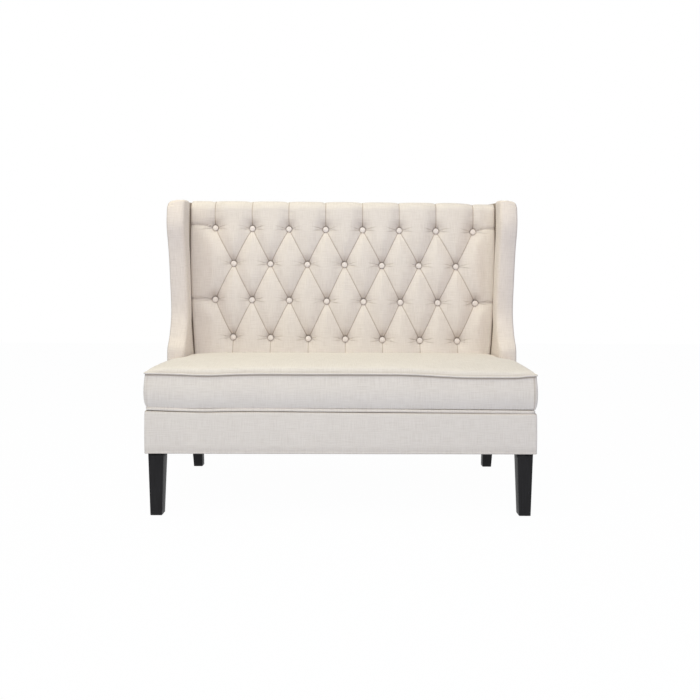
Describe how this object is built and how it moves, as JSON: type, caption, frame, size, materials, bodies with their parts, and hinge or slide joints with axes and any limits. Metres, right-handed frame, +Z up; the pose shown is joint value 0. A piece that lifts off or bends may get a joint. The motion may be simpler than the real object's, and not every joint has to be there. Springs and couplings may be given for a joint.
{
  "type": "high back settee",
  "caption": "High back settee with curved wings, a diamond-tufted button back, a tight welted seat and square tapered legs.",
  "frame": {"origin": "on the floor under the middle of the settee's width and depth", "axes": "+X towards the viewer's right seen from the front, +Y towards the back, +Z up; the seat faces -Y"},
  "size_m": [1.258, 0.6757, 1.0855],
  "materials": {
    "cover": "matte",
    "leg": "satin",
    "frame_timber": "matte",
    "spring_steel": "satin",
    "deck_cloth": "matte",
    "webbing": "matte",
    "underlining": "matte"
  },
  "bodies": {
    "root": {"leg_front_right": "leg", "leg_front_left": "leg", "leg_rear_right": "leg", "leg_rear_left": "leg", "seat_front_rail": "frame_timber", "seat_rear_rail": "frame_timber", "seat_side_rail_right": "frame_timber", "seat_side_rail_left": "frame_timber", "corner_block_front_right": "frame_timber", "corner_block_front_left": "frame_timber", "seat_centre_stretcher": "frame_timber", "back_post_right": "frame_timber", "back_post_left": "frame_timber", "back_top_rail": "frame_timber", "back_tack_rail": "frame_timber", "back_centre_upright": "frame_timber", "wing_board_right": "frame_timber", "wing_board_left": "frame_timber", "wing_cover_right": "cover", "wing_cover_left": "cover", "base_cover": "cover", "seat_lower_welt": "cover", "seat_top_welt": "cover", "seat_spring_unit": "spring_steel", "seat_deck": "deck_cloth", "seat_cushion": "cover", "back_pad": "cover", "tuft_button_row1_1": "cover", "tuft_button_row1_2": "cover", "tuft_button_row1_3": "cover", "tuft_button_row1_4": "cover", "tuft_button_row1_5": "cover", "tuft_button_row1_6": "cover", "tuft_button_row1_7": "cover", "tuft_button_row1_8": "cover", "tuft_button_row2_1": "cover", "tuft_button_row2_2": "cover", "tuft_button_row2_3": "cover", "tuft_button_row2_4": "cover", "tuft_button_row2_5": "cover", "tuft_button_row2_6": "cover", "tuft_button_row2_7": "cover", "tuft_button_row3_1": "cover", "tuft_button_row3_2": "cover", "tuft_button_row3_3": "cover", "tuft_button_row3_4": "cover", "tuft_button_row3_5": "cover", "tuft_button_row3_6": "cover", "tuft_button_row3_7": "cover", "tuft_button_row3_8": "cover", "tuft_button_row4_1": "cover", "tuft_button_row4_2": "cover", "tuft_button_row4_3": "cover", "tuft_button_row4_4": "cover", "tuft_button_row4_5": "cover", "tuft_button_row4_6": "cover", "tuft_button_row4_7": "cover", "back_webbing": "webbing", "outside_back_panel": "cover", "dust_cover": "underlining"}
  },
  "joints": []
}
